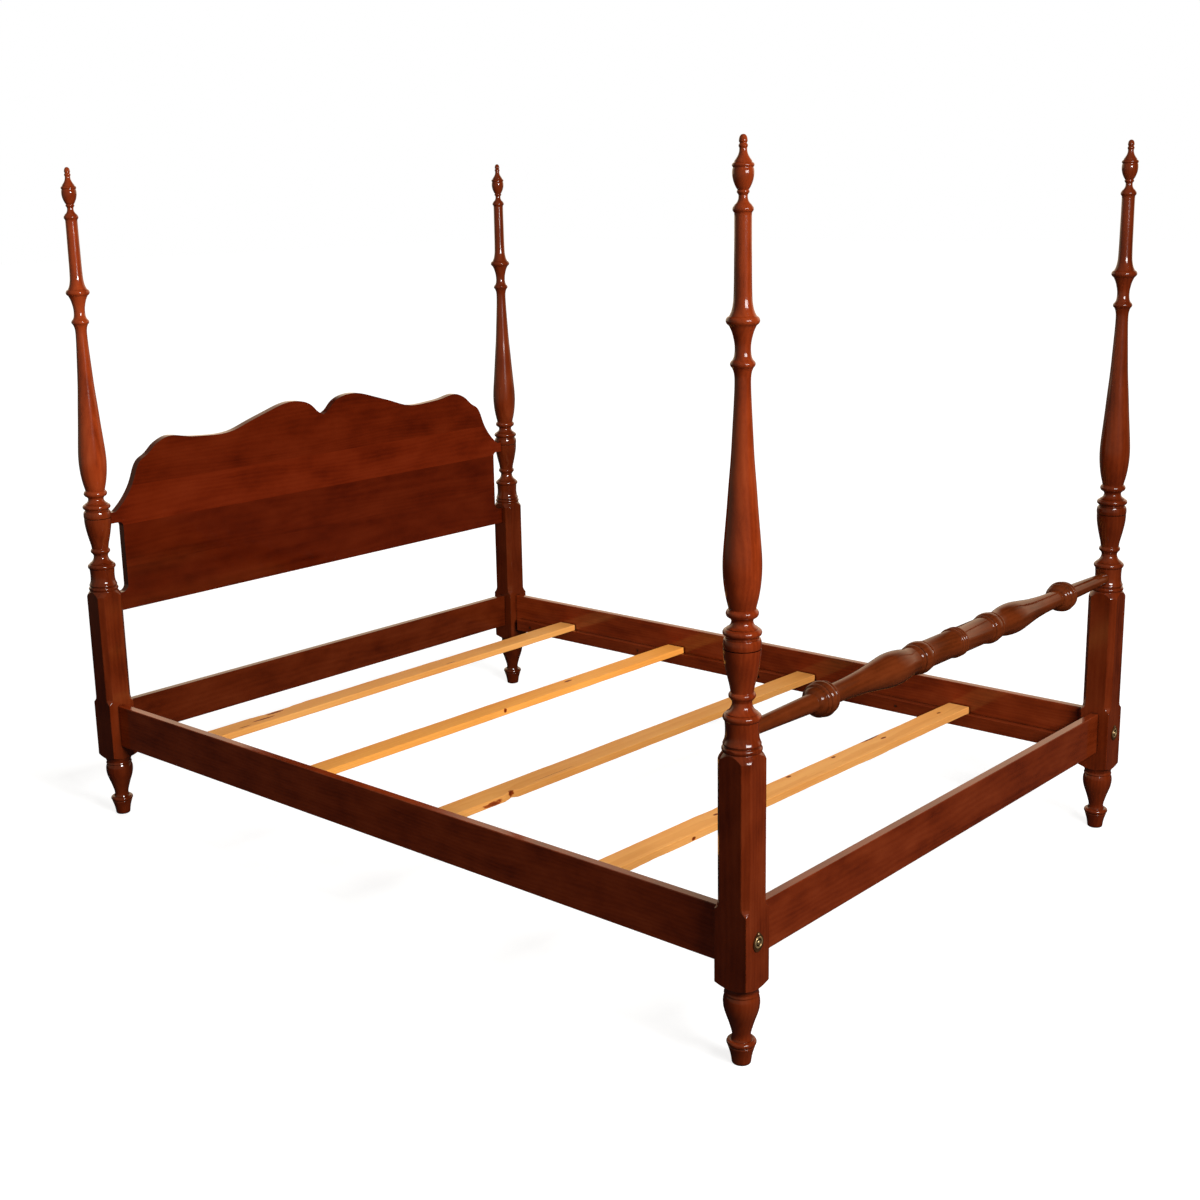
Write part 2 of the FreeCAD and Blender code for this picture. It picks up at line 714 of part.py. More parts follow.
def headboard_blank():
    """Whole headboard outline as one plate: crest, ears, end notches and lower tenons."""
    crest = [crest_point(share_x, share_z) for share_x, share_z in crest_shares]
    reach = headboard_reach
    edges = [smooth_edge(crest)]
    top = rounded_corner(notch_distance, notch_top_height, -notch_top_radius)
    bottom = rounded_corner(notch_distance, notch_bottom_height, notch_bottom_radius)
    path = [crest[-1], Vector(reach, 0, ear_top_height), Vector(reach, 0, notch_top_height), top[-1]]
    edges += straight_edges(path)
    edges.append(Part.Arc(*reversed(top)).toShape())
    edges += straight_edges([top[0], bottom[0]])
    edges.append(Part.Arc(*bottom).toShape())
    edges += straight_edges([bottom[-1], Vector(reach, 0, notch_bottom_height),
                             Vector(reach, 0, headboard_bottom_height),
                             Vector(0, 0, headboard_bottom_height), crest[0]])
    right = Part.Face(Part.Wire(edges)).extrude(Vector(0, headboard_thickness, 0))
    left = right.mirror(Vector(0, 0, 0), Vector(1, 0, 0))
    plate = right.fuse(left).removeSplitter()
    plate.translate(Vector(0, half_along - headboard_thickness / 2, 0))
    return plate


def headboard_boards():
    """The boards that the headboard is glued up from, bottom to top."""
    plate = headboard_blank()
    heights = [headboard_bottom_height]
    for width in (bottom_board_width, lower_board_width, upper_board_width):
        heights.append(heights[-1] + width)
    heights.append(crest_height + overrun)
    depth = (half_along - headboard_thickness, half_along + headboard_thickness)
    boards = []
    for low, high in zip(heights, heights[1:]):
        boards.append(plate.common(block((-half_across, half_across), depth, (low, high))))
    return boards


def save(name, shape):
    """Write one node and say what it holds."""
    shape.exportStep(f"parts/{name}.step")
    print(name, "solids", len(shape.Solids), "valid", shape.isValid())


def save_group(name, make):
    """Write four like pieces, one at each post, as one node."""
    save(name, Part.makeCompound([make(side, end) for side, end in bolt_stations()]))


os.makedirs("parts", exist_ok=True)
posts = {"foot_left": (-1, -1), "foot_right": (1, -1), "head_left": (-1, 1), "head_right": (1, 1)}
for post_name, (post_side, post_end) in posts.items():
    save(f"{post_name}_lower_post", lower_post(post_side, post_end))
    save(f"{post_name}_upper_post", upper_post(post_side, post_end))
    save(f"{post_name}_finial", finial(post_side, post_end))
    save(f"{post_name}_bolt_cover", bolt_cover(post_side, post_end))
save_group("finial_pins", finial_pin)
save_group("cover_pins", cover_pin)
save_group("bed_bolts", bed_bolt)
save_group("bolt_washers", washer)
save_group("barrel_nuts", barrel_nut)
save("foot_rail", end_rail(-1))
save("head_rail", end_rail(1))
for side_name, side_sign in (("left", -1), ("right", 1)):
    save(f"{side_name}_side_rail", side_rail(side_sign))
    save(f"{side_name}_cleat", cleat(side_sign))
    save(f"{side_name}_cleat_screws", Part.makeCompound([cleat_screw(side_sign, place)
                                                         for place in cleat_screw_places()]))
for slat_number, (slat_share, slat_skew) in enumerate(zip(slat_place_shares, slat_skew_degrees), 1):
    save(f"slat_{slat_number}", slat(slat_share, slat_skew))
save("blanket_roll", blanket_roll())
board_names = ("bottom", "lower", "upper", "crest")
for board_name, board in zip(board_names, headboard_boards()):
    save(f"headboard_{board_name}_board", board)
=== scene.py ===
# %% [markdown]
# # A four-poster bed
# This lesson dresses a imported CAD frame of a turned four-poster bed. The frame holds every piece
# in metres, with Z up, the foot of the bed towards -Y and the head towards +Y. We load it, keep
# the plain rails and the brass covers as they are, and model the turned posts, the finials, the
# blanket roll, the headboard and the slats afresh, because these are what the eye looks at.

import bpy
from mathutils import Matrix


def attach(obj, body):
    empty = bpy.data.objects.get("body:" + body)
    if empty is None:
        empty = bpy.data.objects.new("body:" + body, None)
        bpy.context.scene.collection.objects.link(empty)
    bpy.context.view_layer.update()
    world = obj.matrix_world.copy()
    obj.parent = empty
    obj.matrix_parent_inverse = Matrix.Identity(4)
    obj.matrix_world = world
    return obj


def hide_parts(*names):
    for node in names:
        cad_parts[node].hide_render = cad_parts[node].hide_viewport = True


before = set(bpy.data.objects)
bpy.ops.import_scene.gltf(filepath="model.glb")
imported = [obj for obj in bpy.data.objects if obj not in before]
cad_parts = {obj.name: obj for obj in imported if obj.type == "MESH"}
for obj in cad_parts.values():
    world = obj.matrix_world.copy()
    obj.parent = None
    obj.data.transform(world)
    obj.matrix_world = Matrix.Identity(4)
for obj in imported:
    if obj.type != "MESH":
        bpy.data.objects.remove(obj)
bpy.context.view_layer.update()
print("nodes in the frame:", len(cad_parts))

# %% [markdown]
# ## Working in edit mode from code
# Every Blender operator acts on what is selected, so each step first puts down what it holds.
# Drawings of turned work are in millimetres, and Blender works in metres.

# %% Helpers for picking pieces up
import math

import bmesh
import bpy
import numpy as np
from mathutils import Matrix, Vector

MM = 0.001


def put_down():
    """Leave edit mode and deselect everything."""
    if bpy.context.mode != "OBJECT":
        bpy.ops.object.mode_set(mode="OBJECT")
    bpy.ops.object.select_all(action="DESELECT")


def take_up(piece):
    """Select one piece alone and make it active."""
    put_down()
    piece.select_set(True)
    bpy.context.view_layer.objects.active = piece


def finish_modifiers(piece):
    """Apply every modifier, so that the mesh is what we see."""
    take_up(piece)
    for modifier in list(piece.modifiers):
        bpy.ops.object.modifier_apply(modifier=modifier.name)


def settle(piece):
    """Move the object's place, turn and size into its mesh."""
    take_up(piece)
    bpy.ops.object.transform_apply(location=True, rotation=True, scale=True)


def soft_shading(piece, degrees=35):
    """Smooth faces that meet at a small angle, and let large faces keep their own normal."""
    take_up(piece)
    bpy.ops.object.shade_smooth_by_angle(angle=math.radians(degrees))
    weighted = piece.modifiers.new("weighted", "WEIGHTED_NORMAL")
    weighted.keep_sharp = True
    bpy.ops.object.modifier_apply(modifier=weighted.name)


put_down()
print("pieces still selected:", len(bpy.context.selected_objects))

# %% [markdown]
# ## Drawing a turned outline
# A turner works from a drawing of half the piece. Ours is a list of rows, from one end to the
# other: a pair is a straight cut to that radius and height, three numbers are a bead or a hollow
# with its radius half way up, and a list is one sweeping curve through its pairs. A curve could
# be a Bezier object, but a natural cubic through measured points needs no handles to adjust.

# %% Points along curves and arcs
def sweeping_curve(points, spacing):
    """Points along a natural cubic through the given ones, without the first."""
    knots = np.array(points, float)
    gaps = np.linalg.norm(np.diff(knots, axis=0), axis=1)
    system = np.eye(len(knots))
    right = np.zeros_like(knots)
    for i in range(1, len(knots) - 1):
        system[i, i - 1:i + 2] = gaps[i - 1], 2 * (gaps[i - 1] + gaps[i]), gaps[i]
        right[i] = 6 * ((knots[i + 1] - knots[i]) / gaps[i] - (knots[i] - knots[i - 1]) / gaps[i - 1])
    bend = np.linalg.solve(system, right)
    made = []
    for i, gap in enumerate(gaps):
        count = max(2, round(gap / spacing))
        for k in range(1, count + 1):
            u = gap * k / count
            w = gap - u
            point = (bend[i] * w**3 + bend[i + 1] * u**3) / (6 * gap)
            point = point + (knots[i] / gap - bend[i] * gap / 6) * w
            point = point + (knots[i + 1] / gap - bend[i + 1] * gap / 6) * u
            made.append(tuple(point))
    return made


def bead(start, middle, end, step=11):
    """Points on the arc through three places, without the first, a few degrees apart."""
    (x1, y1), (x2, y2), (x3, y3) = start, middle, end
    across = 2 * (x1 * (y2 - y3) + x2 * (y3 - y1) + x3 * (y1 - y2))
    if abs(across) < 1e-6:
        return [end]
    s1, s2, s3 = x1 * x1 + y1 * y1, x2 * x2 + y2 * y2, x3 * x3 + y3 * y3
    cx = (s1 * (y2 - y3) + s2 * (y3 - y1) + s3 * (y1 - y2)) / across
    cy = (s1 * (x3 - x2) + s2 * (x1 - x3) + s3 * (x2 - x1)) / across
    first, half, last = (math.atan2(y - cy, x - cx) for x, y in (start, middle, end))
    sweep = (last - first) % math.tau
    if (half - first) % math.tau > sweep:
        sweep -= math.tau
    radius = math.hypot(x1 - cx, y1 - cy)
    count = max(3, math.ceil(abs(math.degrees(sweep)) / step))
    angles = [first + sweep * k / count for k in range(1, count + 1)]
    return [(cx + radius * math.cos(a), cy + radius * math.sin(a)) for a in angles]


def outline(rows, spacing=4.0):
    """All the points of a drawing, in order."""
    points = [rows[0][:2]]
    for row in rows[1:]:
        here = points[-1]
        if isinstance(row, list):
            points += sweeping_curve([here] + row, spacing)
        elif len(row) == 3:
            points += bead(here, (row[2], (here[1] + row[1]) / 2), row[:2])
        else:
            points.append(row)
    return points


def ease(points, cut=0.4, support=1.6):
    """Round each sharp corner a little, as sanding does, and keep the faces beside it flat."""
    eased = [points[0]]
    for before, corner, after in zip(points, points[1:], points[2:]):
        corner = Vector(corner)
        back, on = Vector(before) - corner, Vector(after) - corner
        if math.degrees(back.angle(on)) > 152:
            eased.append(corner)
            continue
        p = corner + back.normalized() * min(cut, back.length * 0.4)
        q = corner + on.normalized() * min(cut, on.length * 0.4)
        if back.length > 2 * support:
            eased.append(corner + back.normalized() * support)
        eased += [p, (p + q) / 4 + corner / 2, q]
        if on.length > 2 * support:
            eased.append(corner + on.normalized() * support)
    eased.append(points[-1])
    return [tuple(point) for point in eased]


print("a bead of 6 mm has", len(bead((20, 0), (23, 3), (20, 6))), "points")

# %% [markdown]
# ## Turning a piece
# A lathe spins the wood against a still tool. We do the reverse: one vertex is extruded along the
# drawing, and the line that it leaves is spun once round the axis. Where the line starts or ends
# on the axis the copies fall together, and merging them closes the pole.

# %% A line of vertices, and the lathe
def draw_line(name, points):
    """One vertex extruded from place to place, in metres."""
    put_down()
    bpy.ops.mesh.primitive_plane_add(size=0.01)
    piece = bpy.context.object
    piece.name = name
    piece.data.name = name
    bpy.ops.object.mode_set(mode="EDIT")
    bpy.ops.mesh.merge(type="CENTER")
    bpy.ops.transform.translate(value=Vector(points[0]))
    for start, end in zip(points, points[1:]):
        bpy.ops.mesh.extrude_region_move(TRANSFORM_OT_translate={"value": Vector(end) - Vector(start)})
    return piece


def fill_and_thicken(depth):
    """Close the drawn line with a face and push that out along Y to a solid."""
    bpy.ops.mesh.select_all(action="SELECT")
    bpy.ops.mesh.edge_face_add()
    bpy.ops.mesh.extrude_region_move(TRANSFORM_OT_translate={"value": (0, depth, 0)})
    bpy.ops.mesh.select_all(action="SELECT")
    bpy.ops.mesh.normals_make_consistent(inside=False)


def spin_about(piece, axis, slices):
    """Spin the line once round an axis through the origin, close it and turn its faces out."""
    bpy.ops.mesh.select_all(action="SELECT")
    bpy.ops.mesh.spin(steps=slices, angle=math.tau, center=(0, 0, 0), axis=axis)
    bpy.ops.mesh.select_all(action="SELECT")
    bpy.ops.mesh.remove_doubles(threshold=0.00001)
    bpy.ops.mesh.normals_make_consistent(inside=False)
    bpy.ops.object.mode_set(mode="OBJECT")
    print(piece.name, "faces", len(piece.data.polygons))


def turn(name, rows, slices=96):
    """Lathe a drawing of radius and height about Z."""
    points = ease(outline(rows))
    points = [(0, points[0][1])] + points
    if points[-1][0] > 0.01:
        points.append((0, points[-1][1]))
    piece = draw_line(name, [(r * MM, 0, h * MM) for r, h in points])
    spin_about(piece, (0, 0, 1), slices)
    take_up(piece)
    bpy.ops.object.shade_smooth_by_angle(angle=math.radians(40))
    return piece


def combine(piece, tool, operation):
    """Cut a piece with a tool, or keep what both share, and put the tool away."""
    cut = piece.modifiers.new("combined", "BOOLEAN")
    cut.operation = operation
    cut.solver = "EXACT"
    cut.object = tool
    finish_modifiers(piece)
    bpy.data.objects.remove(tool)


def copy_of(piece, name, place=(0, 0, 0), turned=0):
    """A copy with its own mesh, moved and turned about Z."""
    take_up(piece)
    bpy.ops.object.duplicate()
    copy = bpy.context.object
    copy.name = name
    copy.data.name = name
    copy.rotation_euler.z = math.radians(turned)
    copy.location = place
    settle(copy)
    return copy


# %% [markdown]
# ## The wood: stained cherry under lacquer
# Solid wood has its figure all through it, so the pattern is a solid one: growth rings round a
# heart that lies outside the piece, stretched along the grain, with fine pores and a slow change
# of tone. Turning or cutting such a block shows ovals and flames where the real wood has them.
# Each piece gets its own heart, so that no two posts are alike. A node that reads Object
# coordinates is centred on the piece with a Mapping node.

# %% Helpers for shader nodes
def new_material(name):
    """A material with nodes, and its main shader."""
    material = bpy.data.materials.new(name)
    material.use_nodes = True
    return material, material.node_tree.nodes["Principled BSDF"]


def add_node(material, kind, links=None, **settings):
    """A node with its settings, its values and its links in one line."""
    made = material.node_tree.nodes.new(kind)
    for key, value in settings.items():
        setattr(made, key, value)
    for socket, value in (links or {}).items():
        if isinstance(value, bpy.types.NodeSocket):
            material.node_tree.links.new(value, made.inputs[socket])
        else:
            made.inputs[socket].default_value = value
    return made


def ramp(material, value, stops):
    """Colours along a value. Each stop is a place and a colour."""
    made = add_node(material, "ShaderNodeValToRGB", {"Fac": value})
    stops = [(place, tuple(colour) + (1,)) for place, colour in stops]
    band = made.color_ramp.elements
    while len(band) < len(stops):
        band.new(0.5)
    for element, (place, colour) in zip(band, stops):
        element.position = place
        element.color = colour
    return made.outputs["Color"]


def maths(material, operation, *values):
    """One step of arithmetic on numbers."""
    return add_node(material, "ShaderNodeMath", dict(enumerate(values)), operation=operation).outputs[0]


def vector_maths(material, operation, *values):
    """One step of arithmetic on vectors. Lengths and products come out as numbers."""
    made = add_node(material, "ShaderNodeVectorMath", dict(enumerate(values)), operation=operation)
    return made.outputs["Value" if operation in ("LENGTH", "DISTANCE", "DOT_PRODUCT") else "Vector"]


def spread(material, value, start, full, low=0.0, high=1.0):
    """Low up to the start, high from full on, and even in between."""
    return add_node(material, "ShaderNodeMapRange", {"Value": value, "From Min": start, "From Max": full,
                                                     "To Min": low, "To Max": high}).outputs[0]


def object_place(material):
    """Where each point lies on the object, in metres."""
    return add_node(material, "ShaderNodeTexCoord").outputs["Object"]


def along_axis(material, vector, axis):
    """One of the three numbers of a vector."""
    return add_node(material, "ShaderNodeSeparateXYZ", {0: vector}).outputs[axis]


GRAIN = {"z": (0, 0, 0), "x": (0, math.pi / 2, 0), "y": (-math.pi / 2, 0, 0)}


def wood_place(material, middle, grain, heart):
    """Object coordinates centred on a piece, with the grain along Z and the heart at the origin."""
    centred = add_node(material, "ShaderNodeMapping", {"Vector": object_place(material), "Location": middle,
                                                       "Rotation": GRAIN[grain]}, vector_type="TEXTURE")
    return vector_maths(material, "ADD", centred.outputs[0], heart)


def stretched(material, vector, scale):
    """A place times a scale for each axis: a small one draws the pattern out."""
    return add_node(material, "ShaderNodeMapping", {"Vector": vector, "Scale": scale}).outputs[0]


def noise(material, vector, scale, detail=3.0, roughness=0.5):
    """Cloudy values around one half."""
    return add_node(material, "ShaderNodeTexNoise", {"Vector": vector, "Scale": scale, "Detail": detail,
                                                     "Roughness": roughness}).outputs["Fac"]


def mix(material, amount, a, b, blend="MIX"):
    """Two colours mixed or multiplied."""
    made = add_node(material, "ShaderNodeMix", {0: amount, 6: a, 7: b}, data_type="RGBA", blend_type=blend)
    return made.outputs[2]


def weighted_sum(material, *terms):
    """Add up values, each times its weight."""
    total = 0.0
    for value, weight in terms:
        total = maths(material, "MULTIPLY_ADD", value, weight, total)
    return total


# A colour ramp runs from 0 to 1, so heights are taken as shares of this one, in metres.
TALLEST = 2.0


def along_height(material, tones):
    """A grey that follows a list of heights in metres and tones up to 1."""
    height = along_axis(material, object_place(material), "Z")
    share = maths(material, "MULTIPLY", height, 1 / TALLEST)
    return ramp(material, share, [(z / TALLEST, (tone,) * 3) for z, tone in tones])


# %% The cherry finish
CHERRY_DARK = (0.088, 0.0095, 0.0016)
CHERRY_MID = (0.155, 0.0200, 0.0036)
CHERRY_LIGHT = (0.215, 0.034, 0.0078)
BROWN_GLAZE = (0.105, 0.030, 0.0070)


def cherry(name, middle=(0, 0, 0), grain="z", heart=(0.05, 0.03, 0), tone=1.0, brown=0.0, heights=(),
           contrast=1.0, tint=(1, 1, 1), lacquer=1.0):
    """Red-brown cherry stain under a semi-gloss lacquer."""
    material, shader = new_material(name)
    place = wood_place(material, middle, grain, heart)
    wander = add_node(material, "ShaderNodeTexNoise", {"Vector": stretched(material, place, (9, 9, 1.6)),
                                                       "Scale": 1.0, "Detail": 2.0}).outputs["Color"]
    drift = vector_maths(material, "MULTIPLY_ADD", wander, (0.05, 0.05, 0), place)
    rings = add_node(material, "ShaderNodeTexWave", {"Vector": drift, "Scale": 34.0, "Distortion": 1.5,
                                                     "Detail": 2.0, "Detail Scale": 1.0},
                     wave_type="RINGS", rings_direction="Z").outputs["Fac"]
    flame = noise(material, stretched(material, drift, (42, 42, 2.6)), 1.0, 3.0, 0.55)
    blotch = noise(material, stretched(material, place, (15, 15, 8)), 1.0, 3.0, 0.55)
    speckle = noise(material, stretched(material, place, (420, 420, 160)), 1.0, 2.0, 0.6)
    pores = noise(material, stretched(material, place, (1100, 1100, 40)), 1.0, 1.0, 0.5)
    figure = weighted_sum(material, (rings, 0.05), (flame, 0.24), (blotch, 0.56), (speckle, 0.10), (pores, 0.10))
    usual = 0.53
    low, high = usual - 0.16 / contrast, usual + 0.20 / contrast
    stain = ramp(material, figure, [(stop, [c * t * tone for c, t in zip(colour, tint)]) for stop, colour in
                                    ((low, CHERRY_DARK), (usual, CHERRY_MID), (high, CHERRY_LIGHT))])
    if brown:
        stain = mix(material, brown, stain, [c * tone for c in BROWN_GLAZE] + [1])
    if heights:
        stain = mix(material, 1.0, stain, along_height(material, heights), "MULTIPLY")
    # Painted shade: ambient occlusion darkens the stain in the grooves and wherever parts meet, partly standing for
    # glazing that gathers in the grooves.
    crevice = add_node(material, "ShaderNodeAmbientOcclusion", {"Distance": 0.009}, samples=6).outputs["AO"]
    painted_shade_and_glaze = ramp(material, crevice, [(0.30, (0.06, 0.04, 0.03)), (0.80, (1, 1, 1))])
    stain = mix(material, 1.0, stain, painted_shade_and_glaze, "MULTIPLY")
    material.node_tree.links.new(stain, shader.inputs["Base Color"])
    shader.inputs["Roughness"].default_value = 0.36
    shader.inputs["Specular IOR Level"].default_value = 0.0
    shader.inputs["Coat Weight"].default_value = lacquer
    shader.inputs["Coat Roughness"].default_value = 0.11
    bump = add_node(material, "ShaderNodeBump", {"Height": pores, "Strength": 0.06, "Distance": 0.0003})
    material.node_tree.links.new(bump.outputs[0], shader.inputs["Normal"])
    return material


def dress(piece, material):
    """Give a piece its finish."""
    piece.data.materials.clear()
    piece.data.materials.append(material)


# %% [markdown]
# ## The posts
# Each post is two turnings joined by a long tenon. The lower one starts as a square bar: only the
# foot, the shoulders and the collar are turned, and the shaft between them is planed to eight
# sides above the rails. Four posts are alike, so each part is modelled once and copied.

# %% Drawings of the posts
foot_rows = [
    (16.8, 0), (19.4, 3.4, 18.8), [(20.3, 10), (22.3, 21.5), (25, 31), (27.2, 37.4)],
    (27.4, 38.4), (26.2, 39.6), (26.4, 40.4), (21, 51.6, 30),
    [(19.2, 57), (21.4, 75), (27.2, 94), (32.8, 110.1), (36.3, 126), (36.7, 134), (36.2, 140.5),
     (34.6, 146.4), (33.6, 149)],
    (33.2, 150), (33.5, 150.8), (35, 151.6), (34.6, 153.6), [(33.3, 157.4), (34.2, 162), (37.6, 168.6)],
    (54.4, 177),
]
collar_rows = [
    (46.6, 630.5), [(46.3, 633.4), (45.3, 636.8), (43.4, 640.4), (40.6, 644.6), (37.9, 648.6)],
    (37.3, 649.4), (37.3, 650.6), (37.2, 660, 39.4), (35.2, 660.8), (35, 662.6),
    [(36.4, 663.2), (37.1, 664.8), (36.9, 666.4), (36, 668.6), (34.4, 672.4), (33.2, 677), (32.5, 684),
     (32.3, 694), (33.2, 709.9)],
    (34, 711), (33.4, 723.5, 37), (30.9, 724.2), (31.2, 726), (19.6, 741, 23), (18.9, 747), (22, 753), (22.2, 766, 26),
    [(22.6, 770.1), (26.8, 790.1), (31.6, 812.1), (34.6, 830), (35.7, 843), (35.9, 851)], (35.5, 851.5),
]
upper_post_rows = [
    (35.5, 851.5), (35.9, 852), (34.8, 869.5, 36.4), (31.6, 870.8), (31.6, 874.6), (34, 876.4), (31.8, 888.6, 37),
    (29.4, 889.3), (30, 891), (20.6, 902.5, 22.8), (20.8, 906), (24.2, 910), (25.6, 926.5, 30.9),
    [(26.8, 931.7), (30, 944.8), (32.9, 960.2), (35.4, 979.8), (36.7, 1003.4), (36.5, 1022.1),
     (35.4, 1040), (32.1, 1079.9), (28.8, 1119.8), (25.8, 1159.6), (22.4, 1200.3), (18.9, 1259.8),
     (15.8, 1320), (15, 1345.2), (15.4, 1358.3), (17.2, 1367.2), (19.6, 1372.9)],
    (19.6, 1385.5, 23),
    [(17.6, 1388.4), (15.4, 1395.7), (14.6, 1404.7), (15.2, 1416.1), (17.2, 1426.6), (20.2, 1437.2),
     (24.6, 1447)],
    (26.6, 1449), (24.8, 1464.5, 30.7),
    [(22.9, 1468.2), (20.8, 1473), (18.6, 1482), (17.3, 1490.9), (16.8, 1499.9), (16.1, 1534.9),
     (15.9, 1569.9), (15.6, 1614.7), (15.6, 1643.2)],
    (16.2, 1645), (16.2, 1656, 18.8), (15.8, 1657),
]
finial_rows = [
    (15.6, 1657), (15.2, 1658), (8.3, 1671, 9.8), (8.3, 1675), (9.6, 1677), (9.9, 1683.5, 11.3),
    [(11.8, 1686), (14.6, 1691.5), (17, 1697.5), (18.7, 1704.6), (19.5, 1712.1), (19, 1719)],
    (18.2, 1720.5), (18.2, 1722.3), (17.4, 1729.5, 19.8), (15.9, 1730.4), (15.7, 1732.5),
    [(12.4, 1737), (9, 1743), (7.3, 1748.5), (6.9, 1753)], (7.1, 1755.5), (7, 1761.5, 8.3),
    (6.4, 1762.3), (6.4, 1763.4), [(7.5, 1765.1), (7.6, 1768.9), (6.5, 1773.4), (4, 1776.8), (0, 1778)],
]

print("drawn from", foot_rows[0][1], "to", finial_rows[-1][-1][1], "mm")

# %% The planed bar of a lower post
block_side = 77.0
block_top = 330.0
corner_chamfer = 12.5
sanded_edge = 1.5
bar_bottom, bar_top = -10.0, 850.0
foot_top, collar_bottom = 177, 630.5


def corner_wedge(name):
    """The wood that the plane takes off one corner, down to a scooped stop."""
    corner = block_side / math.sqrt(2)
    flat = (block_side - corner_chamfer) / math.sqrt(2)
    scoop = [(5.2, 3.5), (2.6, 7), (0.9, 11), (0, 16)]
    over, outside, half_width = bar_top + 20, corner + 9, 20
    drawing = [(corner, block_top)] + [(flat + out, block_top + up) for out, up in scoop]
    drawing += [(flat, over), (outside, over), (outside, block_top)]
    piece = draw_line(name, [(d * MM, -half_width * MM, h * MM) for d, h in drawing])
    fill_and_thicken(2 * half_width * MM)
    return piece


put_down()
bpy.ops.mesh.primitive_cube_add(size=1, location=(0, 0, (bar_bottom + bar_top) / 2 * MM),
                                scale=(block_side * MM, block_side * MM, (bar_top - bar_bottom) * MM))
bar = bpy.context.object
bar.name = "planed_bar"
settle(bar)
wedge = corner_wedge("corner_wedge")
for quarter in range(4):
    combine(bar, copy_of(wedge, "cutter", turned=45 + 90 * quarter), "DIFFERENCE")
bpy.data.objects.remove(wedge)
rounded = bar.modifiers.new("rounded", "BEVEL")
rounded.width = sanded_edge * MM
rounded.segments = 3
rounded.limit_method = "ANGLE"
rounded.angle_limit = math.radians(20)
finish_modifiers(bar)
print("bar faces", len(bar.data.polygons))

# %% Turn the lower post and keep what lies inside the bar
past_bar = [(block_side, foot_top), (block_side, collar_bottom)]
lower_post = turn("lower_post", foot_rows + past_bar + collar_rows, slices=128)
combine(lower_post, bar, "INTERSECT")
soft_shading(lower_post)
upper_post = turn("upper_post", upper_post_rows)
finial = turn("finial", finial_rows, slices=64)

# %% Stand a copy of each at the four corners
half_across = 0.8
half_along = 1.078
corners = {"foot_left": (-1, -1), "foot_right": (1, -1), "head_left": (-1, 1), "head_right": (1, 1)}
hearts = {"foot_left": (0.045, -0.02, 0.3), "foot_right": (-0.05, 0.035, 1.1),
          "head_left": (0.02, 0.06, 2.3), "head_right": (-0.03, -0.055, 3.2)}
# Tones on the block, the shaft, the collar, the long vase and the top, set for how bright each part looks,
# so besides the stain they carry painted light and shade: the head_right post is darkened for the shade it stands in.
tones = {"foot_left": (0.92, 1.05, 1.46, 1.90, 1.8), "foot_right": (0.86, 0.86, 0.78, 1.0, 1.0),
         "head_left": (0.76, 0.76, 0.94, 1.85, 1.5), "head_right": (0.53, 0.53, 0.60, 0.85, 0.85)}
models = {"lower_post": lower_post, "upper_post": upper_post, "finial": finial}
for corner, (side, end) in corners.items():
    place = (side * half_across, end * half_along, 0)
    most = max(tones[corner])
    block, shaft, vase, upper, top = (tone / most for tone in tones[corner])
    heights = [(0.33, block), (0.45, shaft), (0.66, shaft), (0.74, vase), (0.86, vase), (0.96, upper),
               (1.60, upper), (1.70, top)]
    wood = cherry(f"cherry_{corner}_post", place, "z", hearts[corner], most, heights=heights)
    for part, model in models.items():
        piece = copy_of(model, f"{corner}_{part}_turned", place)
        dress(piece, wood)
        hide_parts(f"{corner}_{part}")
        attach(piece, f"{corner}_finial_body" if part == "finial" else "frame")
for model in models.values():
    bpy.data.objects.remove(model)
print("posts stand", half_across, "and", half_along, "m from the middle")

# %% [markdown]
# ## The blanket roll
# The long turning between the foot posts is two halves that mirror each other. We draw one half,
# run the drawing backwards for the other, spin the line about X and set it at its height.

# %% Turn the blanket roll
roll_rows = [
    (34, 0), (30.8, 4.6, 33.3), (30.6, 13.8, 34), (30.4, 14.4), (30.4, 130.5), (30.4, 141, 33.2),
    [(33.6, 142.8), (35.6, 147.2), (36.3, 156), (35.5, 165), (33.4, 169.6), (30.4, 171.2)], (29.9, 184, 33.4),
    (29.4, 185.5),
    [(29.8, 195.9), (31.1, 210), (33.1, 221.8), (34.9, 234.4), (36.1, 246.2), (36.7, 258),
     (36.8, 269.8), (36.3, 282.4), (35.2, 294.2), (33.8, 306), (30.9, 330.4), (28, 354),
     (25.5, 378.4), (23.8, 402), (22.3, 426.4), (21.3, 454.7), (20.8, 485.4), (20.9, 503.1)],
    (31, 511.6, 28.7), (31.6, 521.6, 34), (32.3, 522.3), (32.5, 541.2, 37.4), (31.6, 541.9),
    (30.6, 552.6, 34.8), (30, 553.3), (20, 568.5, 27.6), (19.2, 575.1), (15, 755.2), (15, 786.7),
]
roll_place = (0, -half_along, 0.685)
half_roll = outline(roll_rows)
whole_roll = [(r, -x) for r, x in reversed(half_roll)] + half_roll[1:]
whole_roll = ease(whole_roll)
whole_roll = [(0, whole_roll[0][1])] + whole_roll + [(0, whole_roll[-1][1])]
blanket_roll = draw_line("blanket_roll_turned", [(x * MM, 0, r * MM) for r, x in whole_roll])
spin_about(blanket_roll, (1, 0, 0), 96)
blanket_roll.location = roll_place
settle(blanket_roll)
bpy.ops.object.shade_smooth_by_angle(angle=math.radians(40))
wood = cherry("cherry_roll", roll_place, "x", (0.03, -0.05, 0.4), 0.86, 0.40, contrast=1.8, lacquer=0.6)
dress(blanket_roll, wood)
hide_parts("blanket_roll")
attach(blanket_roll, "frame")

# %% [markdown]
# ## The headboard
# The headboard is one plate glued from four boards. Modelling four boards apart would leave
# doubtful joints, so we trace the whole outline, give it its thickness, round its rim, and then
# saw copies of it along the glue lines, so that the faces stay flush.

